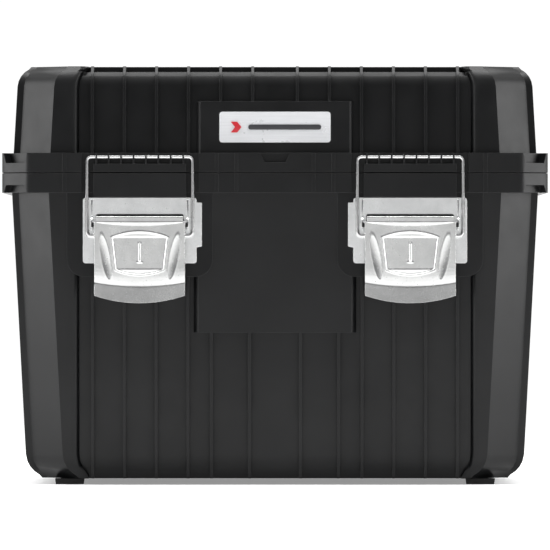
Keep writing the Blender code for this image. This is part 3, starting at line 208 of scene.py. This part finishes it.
# Painted shade: a darker copy of the case plastic for the lid, whose tilted panels catch less light.
SHADED_LID_BLACK = moulded_plastic("black_lid_plastic_painted_shade", (0.0034, 0.0036, 0.0038),
                            (0.0054, 0.0056, 0.0060), 0.36, 0.26)
TRAY_BLACK = moulded_plastic("tray_plastic", (0.012, 0.0124, 0.013), (0.019, 0.0195, 0.0205), 0.5, 0.4)
HANDLE_BLACK = moulded_plastic("handle_plastic", (0.009, 0.0093, 0.0098), (0.015, 0.0154, 0.016), 0.4, 0.45)
STEEL = plated_steel("bright_plated_steel", (0.74, 0.745, 0.74), 0.24)
PLATE_STEEL = plated_steel("bright_plated_sheet", (0.86, 0.87, 0.87), 0.24)
WIRE = plated_steel("bright_plated_wire", (0.66, 0.66, 0.66), 0.22, (60.0, 60.0, 60.0), 0.2)
DARK_STEEL = plated_steel("drawn_pin_steel", (0.42, 0.42, 0.43), 0.30, (60.0, 900.0, 900.0), 0.2)
RUBBER = soft_rubber("foot_rubber", (0.012, 0.012, 0.012))
GRIP = soft_rubber("grip_rubber", (0.014, 0.014, 0.0145), 4.0 * MM)
FILM = satin_label("silver_film", (0.80, 0.81, 0.83), 0.30)


# Carried-over solids

def smoothing_tree():
    """Geometry nodes: weld the split corners, then shade smooth but for edges over the limit angle."""
    tree = bpy.data.node_groups.new("smooth_by_angle", "GeometryNodeTree")
    tree.interface.new_socket("Geometry", in_out="INPUT", socket_type="NodeSocketGeometry")
    tree.interface.new_socket("Geometry", in_out="OUTPUT", socket_type="NodeSocketGeometry")
    graph = Graph(tree)
    start = graph.node("NodeGroupInput").outputs[0]
    weld = graph.node("GeometryNodeMergeByDistance", {"Geometry": start, "Distance": 0.01 * MM})
    faces = graph.node("GeometryNodeSetShadeSmooth", {0: weld.outputs[0], "Shade Smooth": True},
                       domain="FACE")
    angle = graph.node("GeometryNodeInputMeshEdgeAngle").outputs["Unsigned Angle"]
    sharp = graph.node("FunctionNodeCompare", {0: angle, 1: SMOOTH_ANGLE}, data_type="FLOAT",
                       operation="GREATER_THAN").outputs[0]
    edges = graph.node("GeometryNodeSetShadeSmooth", {0: faces.outputs[0], "Selection": sharp,
                                                      "Shade Smooth": False}, domain="EDGE")
    graph.node("NodeGroupOutput", {0: edges.outputs[0]})
    return tree


SMOOTHING = smoothing_tree()


def smooth_by_angle(piece):
    piece.modifiers.new("smooth_by_angle", "NODES").node_group = SMOOTHING


def dress(node, material):
    """Gives a CAD node its finished material and smooth curved faces."""
    piece = NODES[node]
    piece.data.materials.clear()
    piece.data.materials.append(material)
    stored = piece.data.attributes.get("custom_normal")
    if stored is not None:
        piece.data.attributes.remove(stored)
    smooth_by_angle(piece)


FINISHES = {
    "case_shell": BLACK, "lid_shell": SHADED_LID_BLACK, "carry_handle": HANDLE_BLACK, "handle_grip": GRIP,
    "tray_shell": TRAY_BLACK, "tray_handle": WIRE, "label_plate": FILM,
    "handle_pin_left": DARK_STEEL, "handle_pin_right": DARK_STEEL,
    "hinge_pin_left": DARK_STEEL, "hinge_pin_right": DARK_STEEL,
}
for side, _ in SIDES:
    FINISHES[f"foot_front_{side}"] = RUBBER
    FINISHES[f"foot_rear_{side}"] = RUBBER
    FINISHES[f"latch_plate_{side}"] = PLATE_STEEL
    FINISHES[f"lever_pin_{side}"] = DARK_STEEL
    FINISHES[f"trunnion_{side}"] = STEEL
    FINISHES[f"bail_{side}"] = WIRE
    FINISHES[f"lever_{side}"] = STEEL
    for place in ("inner", "outer"):
        FINISHES[f"latch_rivet_{side}_{place}"] = STEEL
for node, material in FINISHES.items():
    dress(node, material)


# Pressed levers

LEVER_HALF = 37.2 * MM
KNUCKLE_HALF = 35.6 * MM
KNUCKLE_SHOULDER_Z = 216.8 * MM
LEVER_FACE_Y = -171.7 * MM
KNUCKLE_Y = -166.0 * MM
KNUCKLE_Z = 215.5 * MM
KNUCKLE_RADIUS = 5.7 * MM
KNUCKLE_CORNER = 0.8 * MM
SHEET = 1.4 * MM
LEVER_COLUMNS = 165
LIP_ROWS = 56
FACE_ROW_STEP = 0.4 * MM
LIP_SMOOTHING = (-1.0, -0.6, -0.2, 0.2, 0.6, 1.0)
LIP_PROFILE = ((179.0, 0.0), (175.0, -0.03), (171.0, -0.13), (167.0, -0.38), (163.0, -0.75), (149.9, 3.25))
LIP_TOP_Z = 178.0 * MM
LIP_END_Z = 149.9 * MM
LIP_CORNER_Z = 156.1 * MM
RELIEF_TOP = 216.6
LENS_HALF, LENS_TOP, LENS_MIDDLE, LENS_RISE = 35.0, 216.4, 213.2, 0.35
DISH_FLOOR, DISH_LEDGE, DISH_SILL = 1.0, 204.3, 178.0
CROWN_DEPTH, KEEL_DEPTH = 0.5, 0.45
GROOVE_TOP, GROOVE_FOOT = (31.2, 204.8), (24.9, 169.8)
GROOVE_HALF, GROOVE_DEPTH = 3.3, 0.75
STEM_RISE, STEM_FOOT_RISE = 0.85, 0.30


def ease(value):
    """A smooth step from 0 to 1."""
    value = min(max(value, 0.0), 1.0)
    return value * value * (3 - 2 * value)


def arc_height(x, half_chord, z_ends, z_middle):
    """Height at x of an arc through its two ends and its middle."""
    sag = z_middle - z_ends
    radius = (half_chord ** 2 + sag ** 2) / (2 * abs(sag))
    drop = radius - math.sqrt(max(radius ** 2 - x ** 2, 0.0))
    return z_middle - math.copysign(drop, sag)


def lip_reach(z_mm):
    """How far the lip stands out of the lever's flat face, in mm, at a height on the profile."""
    total = 0.0
    for offset in LIP_SMOOTHING:
        for (z_high, out_high), (z_low, out_low) in zip(LIP_PROFILE, LIP_PROFILE[1:]):
            if z_mm + offset >= z_low:
                break
        share = (z_high - z_mm - offset) / (z_high - z_low)
        total += out_high + (out_low - out_high) * max(share, 0.0)
    return total / len(LIP_SMOOTHING)


def lens_relief(x, z):
    """The shallow lens under the knuckle: proud along its straight top, falling away going down."""
    if abs(x) >= LENS_HALF:
        return 0.0
    low = arc_height(x, LENS_HALF, LENS_TOP - 0.3, LENS_MIDDLE)
    return LENS_RISE * min(max((z - low) / max(LENS_TOP - low, 0.4), 0.0), 1.0)


def dish_relief(x, z):
    """The thumb dish: a shallow crown, a flat floor and a sloping keel, with a raised bead round it."""
    crown = arc_height(x, 22.8, 203.8, 208.2)
    keel = arc_height(x, 20.0, 177.3, 173.2)
    half = 19.8 + (z - 177.5) * 0.115
    edge = min(half - abs(x), crown - z, z - keel)
    bead = 0.22 * math.exp(-((edge + 0.5) / 0.45) ** 2)
    if edge <= 0:
        return bead
    slope = CROWN_DEPTH + 0.04 * min(crown - z, crown - DISH_LEDGE)
    sunk = slope + (DISH_FLOOR - slope) * ease((DISH_LEDGE + 0.3 - z) / 1.1)
    if z < DISH_SILL:
        fall = min((DISH_SILL - z) / max(DISH_SILL - keel, 0.5), 1.0)
        sunk = KEEL_DEPTH + (DISH_FLOOR - KEEL_DEPTH) * fall
        sunk += (DISH_FLOOR - KEEL_DEPTH) * (1 - ease((DISH_SILL - z) / 0.5))
    return bead - sunk * ease(edge / 0.9)


def groove_relief(x, z):
    """One slanted oval hollow on each side of the dish, with a soft raised rim."""
    x = abs(x)
    along_x, along_z = GROOVE_FOOT[0] - GROOVE_TOP[0], GROOVE_FOOT[1] - GROOVE_TOP[1]
    length = math.hypot(along_x, along_z)
    ux, uz = along_x / length, along_z / length
    dx, dz = x - (GROOVE_TOP[0] + GROOVE_FOOT[0]) / 2, z - (GROOVE_TOP[1] + GROOVE_FOOT[1]) / 2
    along = (dx * ux + dz * uz) / (length / 2)
    across = (dx * uz - dz * ux) / GROOVE_HALF
    radius = math.sqrt(along ** 2 + across ** 2)
    if radius < 1:
        return -GROOVE_DEPTH * (1 - radius ** 2)
    return 0.12 * math.exp(-((radius - 1.08) / 0.10) ** 2)


def stem_relief(x, z):
    """The short raised stem in the middle of the dish, with its little foot."""
    stem = (1 - ease((abs(x) - 0.4) / 0.8)) * ease((z - 183.6) / 0.8) * ease((200.0 - z) / 1.2)
    foot = (1 - ease((abs(x) - 1.8) / 0.7)) * (1 - ease((abs(z - 183.4) - 0.2) / 0.6))
    return max(STEM_RISE * stem, STEM_FOOT_RISE * foot)


def relief(x, z):
    """Height of the pressed shapes over the lever's plain face, in mm, outward positive."""
    if z > RELIEF_TOP:
        return 0.0
    return lens_relief(x, z) + dish_relief(x, z) + groove_relief(x, z) + stem_relief(x, z)


def lever_row_points():
    """The lever's front profile from over the pin down to the lip, as (y, z, share of the lip)."""
    rows = []
    for step in range(5):
        angle = math.radians(50 + 10 * step)
        rows.append((KNUCKLE_Y + KNUCKLE_RADIUS * math.cos(angle),
                     KNUCKLE_Z + KNUCKLE_RADIUS * math.sin(angle), None))
    for step in range(7):
        angle = math.radians(90 + 15 * step)
        rows.append((LEVER_FACE_Y + KNUCKLE_CORNER * (1 + math.cos(angle)),
                     KNUCKLE_Z + KNUCKLE_RADIUS - KNUCKLE_CORNER * (1 - math.sin(angle)), None))
    start = KNUCKLE_Z + KNUCKLE_RADIUS - KNUCKLE_CORNER
    flat = int((start - LIP_TOP_Z) / FACE_ROW_STEP)
    for step in range(1, flat + 1):
        rows.append((LEVER_FACE_Y, start + (LIP_TOP_Z - start) * step / flat, None))
    for step in range(1, LIP_ROWS + 1):
        rows.append((LEVER_FACE_Y, None, step / LIP_ROWS))
    return rows


def make_lever(side, centre):
    """One pressed sheet lever, from over its pin down to the curved lip."""
    bm = bmesh.new()
    grid = []
    for y, z, share in lever_row_points():
        line = []
        half = KNUCKLE_HALF if share is None and z > KNUCKLE_SHOULDER_Z else LEVER_HALF
        for column in range(LEVER_COLUMNS + 1):
            x = half * (2 * column / LEVER_COLUMNS - 1)
            if share is None:
                out = relief(x / MM, z / MM) * MM if y == LEVER_FACE_Y else 0.0
                line.append(bm.verts.new((centre + x, y - out, z)))
                continue
            low = arc_height(x, LEVER_HALF, LIP_CORNER_Z, LIP_END_Z)
            height = LIP_TOP_Z + (low - LIP_TOP_Z) * share
            out = lip_reach((LIP_TOP_Z + (LIP_END_Z - LIP_TOP_Z) * share) / MM) + relief(x / MM, height / MM)
            line.append(bm.verts.new((centre + x, y - out * MM, height)))
        grid.append(line)
    for upper, lower in zip(grid, grid[1:]):
        for first, second, third, fourth in zip(upper, upper[1:], lower[1:], lower):
            bm.faces.new((first, fourth, third, second))
    bm.normal_update()
    mesh = bpy.data.meshes.new(f"pressed_lever_{side}")
    bm.to_mesh(mesh)
    bm.free()
    mesh.shade_smooth()
    lever = bpy.data.objects.new(f"pressed_lever_{side}", mesh)
    bpy.context.scene.collection.objects.link(lever)
    lever.data.materials.append(STEEL)
    shell = lever.modifiers.new("sheet", "SOLIDIFY")
    shell.thickness = SHEET
    shell.offset = -1.0
    shell.use_even_offset = False
    eased = lever.modifiers.new("sheared_edge", "BEVEL")
    eased.width = 0.4 * MM
    eased.segments = 2
    eased.limit_method = "ANGLE"
    eased.angle_limit = LIMIT_BEVEL_ANGLE
    return lever


def round_rect(centre_x, centre_z, width, height, radius, steps=6):
    """Outline of a rectangle with rounded corners, anticlockwise as seen from the front."""
    points = []
    for turn, (sx, sz) in enumerate(((1, 1), (-1, 1), (-1, -1), (1, -1))):
        for step in range(steps + 1):
            angle = math.pi / 2 * (turn + step / steps)
            points.append((centre_x + sx * (width / 2 - radius) + radius * math.cos(angle),
                           centre_z + sz * (height / 2 - radius) + radius * math.sin(angle)))
    return points


def solid_from_outline(name, outline, front_y, thickness, bevel, material):
    """A thin raised shape facing -Y, from an (x, z) outline running anticlockwise as seen from the front."""
    bm = bmesh.new()
    front = [bm.verts.new((x, front_y, z)) for x, z in outline]
    back = [bm.verts.new((x, front_y + thickness, z)) for x, z in outline]
    bm.faces.new(front)
    bm.faces.new(back[::-1])
    for place in range(len(outline)):
        after = (place + 1) % len(outline)
        bm.faces.new((front[after], front[place], back[place], back[after]))
    bmesh.ops.recalc_face_normals(bm, faces=bm.faces)
    mesh = bpy.data.meshes.new(name)
    bm.to_mesh(mesh)
    bm.free()
    piece = bpy.data.objects.new(name, mesh)
    bpy.context.scene.collection.objects.link(piece)
    mesh.materials.append(material)
    eased = piece.modifiers.new("eased_edge", "BEVEL")
    eased.width = bevel
    eased.segments = 3
    eased.limit_method = "ANGLE"
    smooth_by_angle(piece)
    return piece


def make_pivot_caps(side, centre):
    """Dark blocks in front of the pin at both ends of the lever, painted shade standing in for the shaded
    holes there.
    """
    # Near-black plastic as painted shade for the shaded holes at the pin ends.
    pivot_shade_black = moulded_plastic(f"nylon_{side}", (0.004, 0.004, 0.004), (0.007, 0.007, 0.007), 0.5, 0.3)
    front_y = -171.3 * MM
    for place, sign in (("left", -1), ("right", 1)):
        outline = round_rect(centre + sign * 38.75 * MM, 214.1 * MM, 2.3 * MM, 4.0 * MM, 0.5 * MM, 3)
        cap = solid_from_outline(f"pivot_cap_{side}_{place}", outline, front_y, 1.0 * MM, 0.15 * MM, pivot_shade_black)
        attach(cap, "case_body")


for side, sign in SIDES:
    lever = make_lever(side, sign * LATCH_X)
    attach(lever, f"lever_{side}")
    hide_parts(f"lever_{side}")
    make_pivot_caps(side, sign * LATCH_X)


# Label

def make_label():
    """Generic marks on the blank label: a small coloured arrowhead and a plain charcoal bar."""
    low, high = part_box("label_plate")
    mid_z = (low.z + high.z) / 2
    face = low.y
    proud = 0.18 * MM
    ink = moulded_plastic("charcoal_ink", (0.030, 0.030, 0.034), (0.045, 0.045, 0.050), 0.35, 0.4)
    red = moulded_plastic("red_ink", (0.42, 0.012, 0.020), (0.52, 0.020, 0.030), 0.35, 0.4)
    size = 4.4 * MM
    mark_x = -32 * MM
    arrow = [(mark_x - size, mid_z - size), (mark_x + 0.2 * size, mid_z - size), (mark_x + size, mid_z),
             (mark_x + 0.2 * size, mid_z + size), (mark_x - size, mid_z + size), (mark_x - 0.2 * size, mid_z)]
    bar = round_rect(8 * MM, mid_z, 60 * MM, 4.2 * MM, 2.0 * MM)
    made = [solid_from_outline("label_arrow", arrow, face - proud, proud + 0.3 * MM, 0.1 * MM, red),
            solid_from_outline("label_bar", bar, face - proud, proud + 0.3 * MM, 0.1 * MM, ink)]
    for piece in made:
        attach(piece, "lid")


make_label()


# Floor, light and camera

def make_floor():
    """A pale, flat studio floor reaching far behind the box."""
    paper, graph, shader, where = new_material("pale_paper")
    cloud = graph.noise(where, 3.0, 2.0)
    graph.feed(shader.inputs["Base Color"],
               graph.mix(cloud, (0.90, 0.90, 0.90, 1), (0.93, 0.93, 0.93, 1)))
    shader.inputs["Roughness"].default_value = 0.9
    shader.inputs["Specular IOR Level"].default_value = 0.1
    shader.inputs["Emission Color"].default_value = (1, 1, 1, 1)
    shader.inputs["Emission Strength"].default_value = 0.28
    half_width, near, far = 6.0, -6.0, 3.0
    mesh = bpy.data.meshes.new("floor")
    corners = [(-half_width, near, 0), (half_width, near, 0), (half_width, far, 0), (-half_width, far, 0)]
    mesh.from_pydata(corners, [], [(0, 1, 2, 3)])
    mesh.materials.append(paper)
    floor = bpy.data.objects.new("floor", mesh)
    bpy.context.scene.collection.objects.link(floor)


def make_world():
    """White surroundings, with a dark belt just above the horizon in front and a grey one over it."""
    world = bpy.data.worlds.new("studio")
    bpy.context.scene.world = world
    world.use_nodes = True
    graph = Graph(world.node_tree)
    direction = graph.node("ShaderNodeTexCoord").outputs["Generated"]
    parts = graph.node("ShaderNodeSeparateXYZ", {"Vector": direction})
    front = graph.remap(parts.outputs["Y"], 0.05, -0.35)
    rising = graph.remap(parts.outputs["Z"], -0.040, 0.10)
    low_belt = graph.remap(parts.outputs["Z"], 0.44, 0.26, 0.0, 0.40)
    high_belt = graph.remap(parts.outputs["Z"], 0.88, 0.70, 0.0, 0.60)
    belts = graph.math("ADD", low_belt, high_belt)
    shade = graph.math("MULTIPLY", graph.math("MULTIPLY", rising, belts), front)
    colour = graph.mix(shade, (1.0, 1.0, 1.0, 1), (0.13, 0.13, 0.135, 1))
    background = world.node_tree.nodes["Background"]
    graph.feed(background.inputs["Color"], colour)
    background.inputs["Strength"].default_value = 1.05


def add_softbox(name, place, aim, width, height, watts):
    """A rectangular studio light at a place, aimed at a point."""
    light = bpy.data.lights.new(name, "AREA")
    light.shape = "RECTANGLE"
    light.size = width
    light.size_y = height
    light.energy = watts
    lamp = bpy.data.objects.new(name, light)
    lamp.location = place
    lamp.rotation_euler = (Vector(aim) - Vector(place)).to_track_quat("-Z", "Y").to_euler()
    bpy.context.scene.collection.objects.link(lamp)


def make_camera():
    """A long level lens, square on to the front."""
    camera = bpy.data.cameras.new("camera")
    camera.sensor_width = 36.0
    camera.lens = camera.sensor_width * CAMERA_DISTANCE / VIEW_WIDTH
    camera.clip_end = 60.0
    holder = bpy.data.objects.new("camera", camera)
    holder.location = (0, FACE_Y - CAMERA_DISTANCE, VIEW_Z)
    holder.rotation_euler = (math.pi / 2, 0, 0)
    bpy.context.scene.collection.objects.link(holder)
    bpy.context.scene.camera = holder


make_floor()
make_world()
for side, sign in SIDES:
    add_softbox(f"softbox_{side}", (sign * 1.5, -0.20, 0.45), (0, 0, 0.17), 0.9, 1.3, 15)
add_softbox("softbox_top", (0, -0.15, 1.7), (0, 0, 0.2), 1.4, 0.8, 26)
make_camera()
bpy.context.scene.view_settings.view_transform = "Standard"
